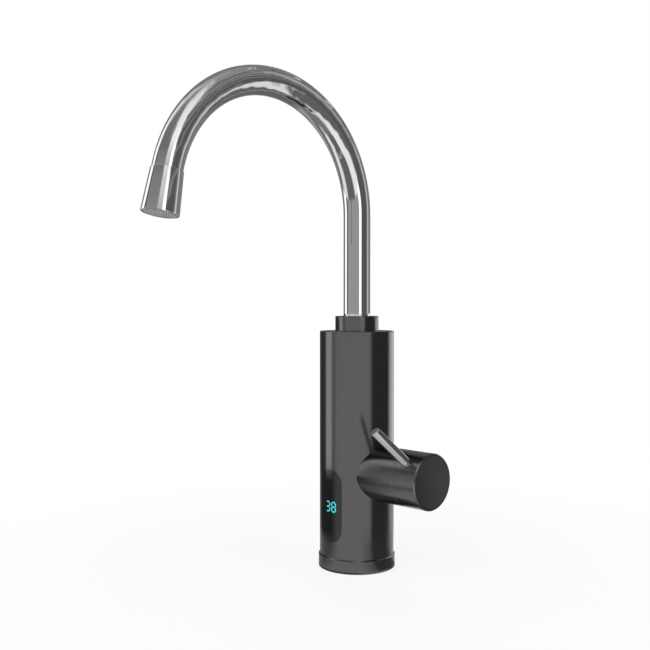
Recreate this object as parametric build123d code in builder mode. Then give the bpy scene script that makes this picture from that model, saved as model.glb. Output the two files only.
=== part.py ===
from build123d import *
import os
from math import cos, radians, sin

# Electric instant water heater tap. Millimetres and degrees.
# Origin at the centre of the base's underside, +Z up, -Y to the user, +X to the lever.

# Fits and gaps
run_fit = 0.05
drop_fit = 0.15
air_gap = 0.3
face_gap = 0.05
small_bevel = 0.4

# Housing: a straight tube with a side branch, on a base ring
body_d = 55.0
body_wall = 1.5
body_top_z = 175.0
body_top_wall = 3.0
branch_wall = 1.75
valve_z = 71.4
seam_x = 52.6
seam_gap = 0.25
base_lip = 0.85
base_h = 10.0
base_floor = 4.0
base_bevel = 0.7
foot_bevel = 0.35
gasket_edge = 1.8
gasket_w = 2.4
gasket_t = 1.6
base_screw_head_d = 6.0
screw_edge = 0.2
base_screw_count = 3
base_screw_angle = 90.0
base_screw_d = 3.0
base_screw_len = 7.5

# Bottom plate with the water inlet, thread G 1/2, and the cable entry
plate_t = 8.0
plate_hub_rise = 0.4
inlet_x = -2.0
inlet_y = 3.6
inlet_bore_d = 18.6
inlet_depth = 11.0
inlet_relief = 0.4
inlet_boss_d = 16.4
inlet_boss_h = 2.4
inlet_washer_t = 1.5
gland_edge = 0.95
cable_d = 7.2
gland_wall = 1.1
gland_flange_w = 1.8
gland_flange_t = 2.0
gland_head_h = 5.0

# Moulded chassis that carries both boards and the heater
chassis_floor = 2.0
chassis_wall = 1.6
lens_air = 0.57
rod_room = 0.85
board_margin = 0.8
front_wall_w = 23.0
cable_arch_w = 14.0
cable_arch_h = 6.0
lens_rib_t = 0.9
lens_rib_reach = 2.6
lead_notch_h = 8.5
rod_count = 4
rod_angle = 45.0
rod_floor = 1.0
rod_d = 2.5
rod_nut_af = 5.0
rod_nut_t = 2.0

# Display: a stadium window in the front of the body
window_w = 19.35
window_h = 53.2
window_z = 48.0
window_gap = 0.15
lens_recess = 0.15
lens_t = 3.0
lens_flange_w = 1.6
lens_flange_t = 1.2
display_board_w = 19.0
display_board_h = 49.0
board_t = 1.6
board_corner = 1.0
digit_block_w = 15.0
digit_block_h = 14.0
digit_block_t = 2.6

# Control board
control_board_z0 = 16.0
control_board_z1 = 84.0
relay_w = 12.0
relay_t = 4.6
relay_h = 20.0
relay_z = 40.0
terminal_t = 2.6
terminal_gap = 0.2
terminal_h = 8.0

# Flow switch: a float with a magnet that rises in a fluted bore
flow_d = 16.0
flow_bore_d = 12.0
flow_port_d = 7.0
flow_spigot_d = 12.0
flow_spigot_len = 2.6
flow_neck_d = 10.0
flow_neck_len = 4.0
flow_end_wall = 3.0
float_h = 13.0
float_lift = 6.0
float_flutes = 4
float_flute_w = 2.0
float_flute_depth = 1.5
float_magnet_d = 5.0
float_magnet_len = 8.0
float_spring_d = 9.2
float_spring_wire = 0.7
float_spring_turns = 5
reed_d = 2.8
reed_len = 16.0

# Side valve: a quarter-turn ceramic cartridge in a brass body
valve_gap = 2.3
valve_thread_step = 0.7
valve_wall = 2.0
valve_x0 = -8.0
valve_shoulder_x = 20.6
valve_end_x = 30.0
valve_floor_x = 4.0
valve_drop = 21.4
valve_rise = 23.6
valve_port_d = 4.0
valve_port_z = 3.0
valve_channel_d = 6.0
valve_boss_d = 14.0
valve_spigot_d = 11.0
valve_spigot_in = 3.5
cartridge_wall = 1.6
port_seal_t = 1.2
disc_t = 3.9
kidney_span = 150.0
kidney_depth = 2.2
stem_flange_t = 4.2
stem_d = 10.0
stem_round_end_x = 41.0
stem_square = 7.0
stem_end_x = 60.0
nut_rim = 3.0
nut_gap = 1.45
nut_wall = 3.0
nut_hole_d = 19.0
nut_slots = 4
nut_slot_w = 4.0
magnet_ring_d = 15.0
magnet_ring_t = 2.6
magnet_ring_x = 37.4
sensor_t = 1.6
sensor_x = 34.4
sensor_chip = 3.0
bearing_x0 = 41.0
bearing_skirt_wall = 1.8
journal_step = 3.0
journal_end_x = 58.2

# Handle: a turned sleeve with a lever rod and an end cap
handle_end_x = 72.75
handle_web_x0 = 58.5
handle_web_x1 = 66.5
handle_hub_d = 13.0
handle_hub_x0 = 47.0
handle_bevel = 0.8
cap_rim = 1.15
cap_t = 2.5
cap_step = 1.15
cap_skirt_wall = 1.5
cap_skirt_len = 3.0
handle_screw_d = 4.0
handle_screw_head_d = 7.0
handle_screw_head_t = 3.0
handle_screw_len = 16.0
handle_screw_key = 3.0
lever_x = 62.2
lever_d = 6.8
lever_len = 36.0
lever_forward = 47.1
lever_inward = 10.0
lever_seat = 1.2
lever_spigot_d = 4.8
lever_spigot_len = 6.8

# Heater: a drawn chamber over a plate with a multi-bend tubular element
heater_plate_t = 5.0
heater_gap = 0.4
heater_register_h = 1.5
chamber_gap = 1.2
chamber_wall = 1.6
chamber_flange_t = 3.0
chamber_boss_h = 7.0
chamber_seal_w = 1.4
chamber_seal_t = 1.3
element_gap = 2.65
element_d = 5.5
element_legs = 6
element_leg_h = 35.0
element_lift = 5.0
element_start = 165.0
element_pin_d = 2.4
element_pin_z = 4.4
ferrule_af = 8.0
ferrule_t = 4.0
lead_d = 2.4
lead_drop = 7.0
lead_bend = 2.0
cutout_w = 7.5
cutout_t = 3.6
cutout_h = 20.0
cutout_z = 128.0
strap_t = 0.5
strap_h = 8.0
probe_inset = 4.0
probe_gap = 1.0
probe_angle = -45.0
probe_d = 4.0
probe_len = 10.0
probe_head_af = 6.0
probe_head_t = 4.0

# Swivel joint and spout
collar_wall = 4.0
collar_h = 11.0
collar_lip = 3.5
socket_flange_w = 4.0
socket_flange_t = 5.0
socket_neck_margin = 0.6
socket_neck_h = 7.5
socket_spigot_d = 16.0
socket_spigot_len = 5.5
socket_bore_d = 16.1
waterway_d = 10.0
nipple_d = 16.0
nipple_depth = 12.0
nipple_step = 1.45
nipple_flange_t = 1.9
nipple_top_len = 10.0
nipple_bore_d = 11.0
ring_section = 1.8
ring_depth = 1.15
ring_count = 2
ring_pitch = 5.0
thrust_t = 0.8
tube_d = 19.9
tube_wall = 1.0
tube_straight_z = 260.0
bend_r = 85.5
bend_angle = 168.7
sleeve_len = 27.9
sleeve_lap = 1.2
sleeve_wall = 0.5
sleeve_flare = 1.75
sleeve_rim = 1.0
tube_tail = 15.5
aerator_h = 9.0
aerator_rim = 1.2
aerator_inset = 0.4
screen_t = 1.2

# Worked out from these: shell, foot and flow switch
body_r = body_d / 2
body_bore_r = body_r - body_wall
base_r = body_r + run_fit + base_lip
gasket_ring_r = base_r - gasket_edge - gasket_w / 2
base_opening_r = gasket_ring_r - gasket_w / 2 - base_screw_head_d - 2 * screw_edge
base_screw_ring_r = base_opening_r + base_screw_head_d / 2 + screw_edge
under_top_z = body_top_z - body_top_wall
plate_z = base_floor
plate_top_z = plate_z + plate_t
plate_r = body_bore_r - drop_fit
hub_r = base_opening_r - drop_fit
gland_r = cable_d / 2 + gland_wall
cable_y = -(hub_r - gland_r - gland_edge)
inlet_boss_top_z = plate_top_z + inlet_boss_h
inlet_boss_r = inlet_boss_d / 2
inlet_end_z = plate_hub_rise + inlet_depth
flow_top_z = valve_z - valve_drop
flow_floor_z = inlet_boss_top_z + flow_end_wall

# Worked out: heater, tie rods and the element's legs
heater_z = valve_z + valve_rise
chamber_z = heater_z + heater_plate_t
heater_plate_r = body_bore_r - heater_gap
chamber_r = body_bore_r - chamber_gap - cutout_t - strap_t - 2 * run_fit
chamber_bore_r = chamber_r - chamber_wall
rod_ring_r = chamber_r + rod_nut_af / 2 + 2 * run_fit
element_ring_r = chamber_bore_r - element_d / 2 - element_gap
element_turns = [radians(element_start + 360 * i / element_legs) for i in range(element_legs)]
element_points = [(element_ring_r * cos(turn), element_ring_r * sin(turn)) for turn in element_turns]
end_points = element_points[:2]
probe_ring_r = chamber_bore_r - probe_inset
chamber_boss_r = probe_ring_r - probe_head_af / 2 - probe_gap

# Worked out: spout and its joint
socket_z = under_top_z - socket_flange_t
chamber_top_z = socket_z - chamber_boss_h
socket_top_z = under_top_z + socket_neck_h
nipple_flange_z = socket_top_z + thrust_t
tube_z = nipple_flange_z + nipple_flange_t
tube_r = tube_d / 2
nipple_flange_r = tube_r + nipple_step
socket_neck_r = nipple_flange_r + socket_neck_margin
socket_flange_r = socket_neck_r + socket_flange_w
collar_r = socket_neck_r + run_fit + collar_wall
sleeve_top_r = tube_r + run_fit + sleeve_wall
sleeve_end_r = sleeve_top_r + sleeve_flare
aerator_r = sleeve_end_r - sleeve_rim - run_fit
ring_cord_r = (ring_depth - run_fit / 2) / 2

# Worked out: lens, and the chassis walls that stand clear of it and of the terminals' corners
lens_r = body_r - lens_recess
lens_back_r = lens_r - lens_t
lens_flange_r = lens_back_r + lens_flange_t
digit_corner_y = (lens_back_r**2 - (digit_block_w / 2) ** 2) ** 0.5 - lens_air
chassis_front_y = -(digit_corner_y - digit_block_t - board_t)
notch_x0 = min(x for x, y in end_points) - lead_d / 2 - air_gap
notch_x1 = max(x for x, y in end_points) + lead_d / 2 + air_gap
terminal_reach = max(-notch_x0, notch_x1)
terminal_corner_y = ((body_bore_r - terminal_gap) ** 2 - terminal_reach**2) ** 0.5
chassis_rear_y = terminal_corner_y - terminal_t - board_t
front_wall_y = chassis_front_y + chassis_wall / 2
rear_wall_y = chassis_rear_y - chassis_wall / 2
rear_wall_w = 2 * (rod_ring_r * cos(radians(rod_angle)) - rod_d / 2 - rod_room)
control_board_w = rear_wall_w - 2 * board_margin

# Worked out: valve, from its place between the walls out to the branch and the handle
valve_r = -chassis_front_y - chassis_wall - valve_gap
valve_thread_r = valve_r - valve_thread_step
cartridge_r = valve_r - valve_wall
cartridge_bore_r = cartridge_r - cartridge_wall
disc_r = cartridge_bore_r - drop_fit
fixed_disc_x = valve_floor_x + port_seal_t
moving_disc_x = fixed_disc_x + disc_t + face_gap
stem_flange_x = moving_disc_x + disc_t
port_ring_r = (valve_port_z**2 + inlet_y**2) ** 0.5
port_points = [(inlet_y, valve_port_z), (inlet_y, -valve_port_z)]
channel_end_z = valve_port_z - valve_port_d / 2 - air_gap
nut_r = valve_thread_r + nut_rim
branch_bore_r = nut_r + nut_gap
branch_r = branch_bore_r + branch_wall
journal_r = branch_r - journal_step
cap_r = branch_r - cap_rim
cap_skirt_r = cap_r - cap_step
lever_turn = radians(lever_forward)

flow_axis = Location((inlet_x, inlet_y, 0))
valve_axis = Axis((0, 0, valve_z), (1, 0, 0))
valve_section = Plane(origin=(0, 0, valve_z), x_dir=(1, 0, 0), z_dir=(0, -1, 0))
pieces = []
os.makedirs("parts", exist_ok=True)


def side_plane(x):
    """Plane across the valve's axis at x, its first axis along +Y and its second along +Z."""
    return Plane(origin=(x, 0, valve_z), x_dir=(0, 1, 0), z_dir=(1, 0, 0))


def keep(builder, name):
    """Label a finished piece and write it as one STEP file."""
    builder.part.label = name
    export_step(builder.part, f"parts/{name}.step")
    pieces.append(builder.part)


# Base ring: floor, lip round the foot of the body, groove for the deck gasket
with BuildPart() as base_ring:
    with BuildSketch(Plane.XY):
        Circle(base_r)
        Circle(base_opening_r, mode=Mode.SUBTRACT)
    extrude(amount=base_h)
    outer_edges = base_ring.edges().filter_by(GeomType.CIRCLE).group_by(SortBy.RADIUS)[-1]
    chamfer(outer_edges.sort_by(Axis.Z)[-1], base_bevel)
    chamfer(outer_edges.sort_by(Axis.Z)[0], foot_bevel)
    with BuildSketch(Plane.XY.offset(base_floor)):
        Circle(body_r + run_fit)
    extrude(amount=base_h, mode=Mode.SUBTRACT)
    with BuildSketch(Plane.XY):
        Circle(gasket_ring_r + gasket_w / 2)
        Circle(gasket_ring_r - gasket_w / 2, mode=Mode.SUBTRACT)
    extrude(amount=gasket_t, mode=Mode.SUBTRACT)
    with Locations(Plane((0, 0, 0), x_dir=(1, 0, 0), z_dir=(0, 0, -1))):
        with PolarLocations(base_screw_ring_r, base_screw_count, start_angle=base_screw_angle):
            CounterSinkHole(base_screw_d / 2 + drop_fit, base_screw_head_d / 2, depth=base_floor)
keep(base_ring, "base_ring")

# Deck gasket, flush with the base's underside when the tap is tightened down
with BuildPart() as base_gasket:
    with BuildSketch(Plane.XY):
        Circle(gasket_ring_r + gasket_w / 2 - run_fit)
        Circle(gasket_ring_r - gasket_w / 2 + run_fit, mode=Mode.SUBTRACT)
    extrude(amount=gasket_t)
keep(base_gasket, "base_gasket")

# Countersunk screws that draw the base ring onto the bottom plate
with BuildPart() as base_screws:
    with Locations((0, 0, run_fit)):
        with PolarLocations(base_screw_ring_r, base_screw_count, start_angle=-base_screw_angle):
            Cone(base_screw_head_d / 2 - drop_fit, base_screw_d / 2,
                 (base_screw_head_d - base_screw_d) / 2 - drop_fit,
                 align=(Align.CENTER, Align.CENTER, Align.MIN))
            Cylinder(base_screw_d / 2, base_screw_len, align=(Align.CENTER, Align.CENTER, Align.MIN))
keep(base_screws, "base_screws")

# Bottom plate: inlet socket, cable entry, blind holes for the screws and the tie rods
with BuildPart() as bottom_plate:
    with BuildSketch(Plane.XY.offset(plate_z)):
        Circle(plate_r)
    extrude(amount=plate_t)
    with BuildSketch(Plane.XY.offset(plate_hub_rise)):
        Circle(hub_r)
    extrude(amount=plate_z - plate_hub_rise)
    with BuildSketch(Plane.XY.offset(plate_top_z)):
        with Locations((inlet_x, inlet_y)):
            Circle(inlet_boss_r)
    extrude(amount=inlet_boss_h)
    with Locations(Plane((inlet_x, inlet_y, plate_hub_rise), x_dir=(1, 0, 0), z_dir=(0, 0, -1))):
        Hole(inlet_bore_d / 2, depth=inlet_depth)
    with BuildSketch(Plane.XY.offset(inlet_end_z - inlet_washer_t)):
        with Locations((inlet_x, inlet_y)):
            Circle(inlet_bore_d / 2 + inlet_relief)
    extrude(amount=inlet_washer_t, mode=Mode.SUBTRACT)
    with Locations((inlet_x, inlet_y, inlet_boss_top_z)):
        Hole(flow_spigot_d / 2 + run_fit, depth=inlet_boss_top_z - inlet_end_z)
    with Locations((0, cable_y, plate_top_z)):
        Hole(gland_r + run_fit, depth=plate_top_z - plate_hub_rise)
    with Locations(Plane((0, 0, plate_z), x_dir=(1, 0, 0), z_dir=(0, 0, -1))):
        with PolarLocations(base_screw_ring_r, base_screw_count, start_angle=base_screw_angle):
            Hole(base_screw_d / 2 + run_fit, depth=base_screw_len - base_floor + drop_fit)
    with Locations((0, 0, plate_top_z)):
        with PolarLocations(rod_ring_r, rod_count, start_angle=rod_angle):
            Hole(rod_d / 2 + run_fit, depth=plate_t - rod_floor)
    hub_edges = bottom_plate.edges().filter_by(GeomType.CIRCLE).group_by(Axis.Z)[0]
    chamfer(hub_edges.sort_by(SortBy.RADIUS)[-1], small_bevel)
keep(bottom_plate, "bottom_plate")

# Filter washer, snapped into the relief at the end of the inlet socket
with BuildPart() as inlet_washer:
    with BuildSketch(Plane.XY.offset(inlet_end_z - inlet_washer_t)):
        with Locations((inlet_x, inlet_y)):
            Circle(inlet_bore_d / 2 + inlet_relief - run_fit)
            Circle(flow_port_d / 2, mode=Mode.SUBTRACT)
    extrude(amount=inlet_washer_t)
keep(inlet_washer, "inlet_washer")

# Rubber cable gland: sleeve through the plate, flange on it and a clamping head
with BuildPart() as cable_gland:
    with BuildSketch(Plane.XY.offset(plate_hub_rise)):
        with Locations((0, cable_y)):
            Circle(gland_r)
    extrude(amount=plate_top_z - plate_hub_rise + gland_flange_t + gland_head_h)
    with BuildSketch(Plane.XY.offset(plate_top_z)):
        with Locations((0, cable_y)):
            Circle(gland_r + gland_flange_w)
    extrude(amount=gland_flange_t)
    fillet(cable_gland.edges().filter_by(GeomType.CIRCLE).group_by(Axis.Z)[-1], gland_wall / 2)
    with BuildSketch(Plane.XY.offset(plate_hub_rise)):
        with Locations((0, cable_y)):
            Circle(cable_d / 2)
    extrude(amount=plate_top_z + gland_flange_t + gland_head_h, mode=Mode.SUBTRACT)
keep(cable_gland, "cable_gland")

# Chassis: floor ring, front wall for the display, rear wall for the control board
wall_h = heater_z - plate_top_z
lead_z = heater_z - lead_drop
with BuildPart() as inner_chassis:
    with BuildSketch(Plane.XY.offset(plate_top_z)):
        Circle(plate_r - drop_fit)
        with Locations((inlet_x, inlet_y)):
            Circle(inlet_boss_r + drop_fit, mode=Mode.SUBTRACT)
        with Locations((0, cable_y)):
            Circle(gland_r + gland_flange_w + drop_fit, mode=Mode.SUBTRACT)
        with PolarLocations(rod_ring_r, rod_count, start_angle=rod_angle):
            Circle(rod_d / 2 + drop_fit, mode=Mode.SUBTRACT)
    extrude(amount=chassis_floor)
    with BuildSketch(Plane.XY.offset(plate_top_z)):
        with Locations((0, front_wall_y)):
            Rectangle(front_wall_w, chassis_wall)
        with Locations((0, rear_wall_y)):
            Rectangle(rear_wall_w, chassis_wall)
    extrude(amount=wall_h)
    with BuildSketch(Plane.XY.offset(window_z - display_board_h / 2)):
        with Locations((-(front_wall_w - lens_rib_t) / 2, chassis_front_y - lens_rib_reach / 2),
                       ((front_wall_w - lens_rib_t) / 2, chassis_front_y - lens_rib_reach / 2)):
            Rectangle(lens_rib_t, lens_rib_reach)
    extrude(amount=display_board_h)
    with BuildSketch(Plane.XZ.offset(-chassis_front_y - chassis_wall)):
        with Locations((0, plate_top_z)):
            SlotCenterToCenter(cable_arch_h, cable_arch_w, rotation=90)
    extrude(amount=chassis_wall, mode=Mode.SUBTRACT)
    with BuildSketch(Plane.XY.offset(heater_z - lead_notch_h)):
        with Locations(((notch_x0 + notch_x1) / 2, rear_wall_y)):
            Rectangle(notch_x1 - notch_x0, chassis_wall)
    extrude(amount=lead_notch_h, mode=Mode.SUBTRACT)
keep(inner_chassis, "inner_chassis")

# Tie rods from the bottom plate through the heater's flange, with a nut on each
rod_top_z = chamber_z + chamber_flange_t + rod_nut_t + rod_d / 2
with BuildPart() as tie_rods:
    with BuildSketch(Plane.XY.offset(plate_z + rod_floor + drop_fit)):
        with PolarLocations(rod_ring_r, rod_count, start_angle=rod_angle):
            Circle(rod_d / 2)
    extrude(amount=rod_top_z - plate_z - rod_floor - drop_fit)
keep(tie_rods, "tie_rods")

with BuildPart() as tie_rod_nuts:
    with BuildSketch(Plane.XY.offset(chamber_z + chamber_flange_t)):
        with PolarLocations(rod_ring_r, rod_count, start_angle=rod_angle):
            RegularPolygon(rod_nut_af / 2, 6, major_radius=False, rotation=30)
            Circle(rod_d / 2 + run_fit, mode=Mode.SUBTRACT)
    extrude(amount=rod_nut_t)
keep(tie_rod_nuts, "tie_rod_nuts")

# Body shell: closed top, open foot, side branch for the valve, window in the front
with BuildPart() as body_shell:
    with BuildSketch(Plane.XY.offset(base_floor)):
        Circle(body_r)
    extrude(amount=body_top_z - base_floor)
    chamfer(body_shell.edges().filter_by(GeomType.CIRCLE).group_by(Axis.Z)[-1], small_bevel)
    with BuildSketch(side_plane(0)):
        Circle(branch_r)
    extrude(amount=seam_x)
    chamfer(body_shell.edges().filter_by(GeomType.CIRCLE).group_by(Axis.X)[-1], small_bevel / 2)
    with BuildSketch(Plane.XY.offset(base_floor)):
        Circle(body_bore_r)
    extrude(amount=under_top_z - base_floor, mode=Mode.SUBTRACT)
    with BuildSketch(side_plane(0)):
        Circle(branch_bore_r)
    extrude(amount=seam_x, mode=Mode.SUBTRACT)
    with BuildSketch(Plane.XY.offset(under_top_z)):
        Circle(socket_neck_r + run_fit)
    extrude(amount=body_top_wall, mode=Mode.SUBTRACT)
    with BuildSketch(Plane.XZ):
        with Locations((0, window_z)):
            SlotOverall(window_h, window_w, rotation=90)
    extrude(amount=body_r, mode=Mode.SUBTRACT)
keep(body_shell, "body_shell")

# Display lens: a curved plug that fills the window, with a flange behind the shell
with BuildPart() as display_lens:
    with BuildSketch(Plane.XZ):
        with Locations((0, window_z)):
            SlotOverall(window_h + 2 * lens_flange_w, window_w + 2 * lens_flange_w, rotation=90)
    extrude(amount=body_r)
    with BuildSketch(Plane.XY):
        Circle(lens_flange_r)
    extrude(amount=body_top_z, mode=Mode.INTERSECT)
    with BuildSketch(Plane.XZ):
        with Locations((0, window_z)):
            SlotOverall(window_h - 2 * window_gap, window_w - 2 * window_gap, rotation=90)
    extrude(amount=body_r)
    with BuildSketch(Plane.XY):
        Circle(lens_r)
    extrude(amount=body_top_z, mode=Mode.INTERSECT)
    with BuildSketch(Plane.XY):
        Circle(lens_back_r)
    extrude(amount=body_top_z, mode=Mode.SUBTRACT)
keep(display_lens, "display_lens")

# Seal between the lens flange and the inside of the shell
with BuildPart() as lens_gasket:
    with BuildSketch(Plane.XZ):
        with Locations((0, window_z)):
            SlotOverall(window_h + 2 * lens_flange_w, window_w + 2 * lens_flange_w, rotation=90)
            SlotOverall(window_h + window_gap, window_w + window_gap, rotation=90, mode=Mode.SUBTRACT)
    extrude(amount=body_r)
    with BuildSketch(Plane.XY):
        Circle(body_bore_r - run_fit)
    extrude(amount=body_top_z, mode=Mode.INTERSECT)
    with BuildSketch(Plane.XY):
        Circle(lens_flange_r + run_fit)
    extrude(amount=body_top_z, mode=Mode.SUBTRACT)
keep(lens_gasket, "lens_gasket")

# Display board on the chassis front wall, and the two-digit block in front of it
with BuildPart() as display_board:
    with BuildSketch(Plane.XZ.offset(-chassis_front_y)):
        with Locations((0, window_z)):
            RectangleRounded(display_board_w, display_board_h, board_corner)
    extrude(amount=board_t)
keep(display_board, "display_board")

with BuildPart() as digit_block:
    with BuildSketch(Plane.XZ.offset(-chassis_front_y + board_t)):
        with Locations((0, window_z)):
            Rectangle(digit_block_w, digit_block_h)
    extrude(amount=digit_block_t)
    chamfer(digit_block.faces().sort_by(Axis.Y)[0].edges(), small_bevel)
keep(digit_block, "digit_block")

# Control board behind the chassis rear wall, with its relay and the heater terminals
with BuildPart() as control_board:
    with BuildSketch(Plane.XZ.offset(-chassis_rear_y)):
        with Locations((0, (control_board_z0 + control_board_z1) / 2)):
            RectangleRounded(control_board_w, control_board_z1 - control_board_z0, board_corner)
    extrude(amount=-board_t)
keep(control_board, "control_board")

with BuildPart() as power_relay:
    with BuildSketch(Plane.XZ.offset(-chassis_rear_y - board_t)):
        with Locations((0, relay_z)):
            Rectangle(relay_w, relay_h)
    extrude(amount=-relay_t)
    chamfer(power_relay.faces().sort_by(Axis.Y)[-1].edges(), small_bevel)
keep(power_relay, "power_relay")

with BuildPart() as heater_terminals:
    with BuildSketch(Plane.XZ.offset(-chassis_rear_y - board_t)):
        with Locations(((notch_x0 + notch_x1) / 2, control_board_z1 - terminal_h / 2)):
            Rectangle(notch_x1 - notch_x0, terminal_h)
    extrude(amount=-terminal_t)
keep(heater_terminals, "heater_terminals")

# Flow switch housing: upright tube between the inlet and the valve
spring_top_z = flow_top_z - flow_end_wall
with BuildPart() as flow_housing:
    with BuildSketch(Plane.XZ):
        with BuildLine():
            Polyline(
                (flow_port_d / 2, inlet_boss_top_z - flow_spigot_len),
                (flow_spigot_d / 2, inlet_boss_top_z - flow_spigot_len),
                (flow_spigot_d / 2, inlet_boss_top_z),
                (flow_d / 2, inlet_boss_top_z),
                (flow_d / 2, flow_top_z),
                (flow_neck_d / 2, flow_top_z),
                (flow_neck_d / 2, flow_top_z + flow_neck_len),
                (flow_port_d / 2, flow_top_z + flow_neck_len),
                (flow_port_d / 2, spring_top_z),
                (flow_bore_d / 2, spring_top_z),
                (flow_bore_d / 2, flow_floor_z),
                (flow_port_d / 2, flow_floor_z),
                close=True,
            )
        make_face()
    revolve(axis=Axis.Z)
flow_housing.part = flow_housing.part.moved(flow_axis)
keep(flow_housing, "flow_housing")

# Float with flutes for the water and a pocket for its magnet
float_top_z = flow_floor_z + face_gap + float_h
with BuildPart() as flow_float:
    with BuildSketch(Plane.XY.offset(flow_floor_z + face_gap)):
        with Locations((inlet_x, inlet_y)):
            Circle(flow_bore_d / 2 - run_fit)
            with PolarLocations(flow_bore_d / 2, float_flutes):
                Rectangle(2 * float_flute_depth, float_flute_w, mode=Mode.SUBTRACT)
    extrude(amount=float_h)
    with Locations((inlet_x, inlet_y, float_top_z)):
        Hole(float_magnet_d / 2 + run_fit, depth=float_magnet_len)
keep(flow_float, "flow_float")

with BuildPart() as float_magnet:
    with BuildSketch(Plane.XY.offset(float_top_z - float_magnet_len)):
        with Locations((inlet_x, inlet_y)):
            Circle(float_magnet_d / 2)
    extrude(amount=float_magnet_len - run_fit)
keep(float_magnet, "float_magnet")

# Return spring over the float
spring_free = spring_top_z - float_top_z - float_spring_wire - 2 * face_gap
with BuildPart() as float_spring:
    with BuildLine():
        spring_line = Helix(pitch=spring_free / float_spring_turns, height=spring_free,
                            radius=(float_spring_d - float_spring_wire) / 2,
                            center=(inlet_x, inlet_y, float_top_z + float_spring_wire / 2 + face_gap))
    with BuildSketch(Plane(origin=spring_line @ 0, z_dir=spring_line % 0)):
        Circle(float_spring_wire / 2)
    sweep(is_frenet=True)
keep(float_spring, "float_spring")

# Reed switch on the side of the housing, level with the magnet when the float is up
reed_z = float_top_z - float_magnet_len / 2 + float_lift
with BuildPart() as reed_switch:
    with Locations((inlet_x - flow_d / 2 - reed_d / 2 - run_fit, inlet_y, reed_z)):
        Cylinder(reed_d / 2, reed_len)
    fillet(reed_switch.edges().filter_by(GeomType.CIRCLE), reed_d / 4)
keep(reed_switch, "reed_switch")

# Valve body: barrel along X, boss below on the flow switch, spigot above into the heater
with BuildPart() as valve_body:
    with BuildSketch(side_plane(valve_x0)):
        Circle(valve_r)
    extrude(amount=valve_shoulder_x - valve_x0)
    with BuildSketch(side_plane(valve_shoulder_x)):
        Circle(valve_thread_r)
    extrude(amount=valve_end_x - valve_shoulder_x)
    with BuildSketch(Plane.XY.offset(flow_top_z)):
        with Locations((inlet_x, inlet_y)):
            Circle(valve_boss_d / 2)
    extrude(amount=valve_drop)
    with BuildSketch(Plane.XY.offset(valve_z)):
        with Locations((inlet_x, inlet_y)):
            Circle(valve_spigot_d / 2)
    extrude(amount=valve_rise + valve_spigot_in)
    with BuildSketch(side_plane(valve_floor_x)):
        Circle(cartridge_r + run_fit)
    extrude(amount=valve_end_x - valve_floor_x, mode=Mode.SUBTRACT)
    with Locations(Plane((inlet_x, inlet_y, flow_top_z), x_dir=(1, 0, 0), z_dir=(0, 0, -1))):
        Hole(flow_neck_d / 2 + run_fit, depth=flow_neck_len + drop_fit)
        Hole(valve_channel_d / 2, depth=valve_drop - channel_end_z)
    with Locations((inlet_x, inlet_y, heater_z + valve_spigot_in)):
        Hole(valve_channel_d / 2, depth=valve_rise + valve_spigot_in - channel_end_z)
    with BuildSketch(side_plane(inlet_x)):
        with Locations(*port_points):
            Circle(valve_port_d / 2)
    extrude(amount=valve_floor_x - inlet_x, mode=Mode.SUBTRACT)
keep(valve_body, "valve_body")

# Rubber port seal and the fixed ceramic disc, both with the two water ports
with BuildPart() as port_seal:
    with BuildSketch(side_plane(valve_floor_x)):
        Circle(disc_r)
        with Locations(*port_points):
            Circle(valve_port_d / 2, mode=Mode.SUBTRACT)
    extrude(amount=port_seal_t)
keep(port_seal, "port_seal")

with BuildPart() as fixed_disc:
    with BuildSketch(side_plane(fixed_disc_x)):
        Circle(disc_r)
        with Locations(*port_points):
            Circle(valve_port_d / 2, mode=Mode.SUBTRACT)
    extrude(amount=disc_t)
keep(fixed_disc, "fixed_disc")

# Moving ceramic disc: two blind kidneys, shut with the lever upright and open when it is turned
with BuildPart() as moving_disc:
    with BuildSketch(side_plane(moving_disc_x)):
        Circle(disc_r)
    extrude(amount=disc_t)
    with BuildSketch(side_plane(moving_disc_x)):
        for middle in (90, -90):
            SlotArc(CenterArc((0, 0), port_ring_r, middle - kidney_span / 2 + lever_forward, kidney_span),
                    valve_port_d)
    extrude(amount=kidney_depth, mode=Mode.SUBTRACT)
keep(moving_disc, "moving_disc")

# Cartridge housing round the discs, with the stem's bore in its neck
stem_shoulder_x = stem_flange_x + stem_flange_t + face_gap
with BuildPart() as cartridge_housing:
    with BuildSketch(valve_section):
        with BuildLine():
            Polyline(
                (valve_floor_x + face_gap, cartridge_bore_r),
                (valve_floor_x + face_gap, cartridge_r),
                (valve_end_x, cartridge_r),
                (valve_end_x, stem_d / 2 + run_fit),
                (stem_shoulder_x, stem_d / 2 + run_fit),
                (stem_shoulder_x, cartridge_bore_r),
                close=True,
            )
        make_face()
    revolve(axis=valve_axis)
keep(cartridge_housing, "cartridge_housing")

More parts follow.
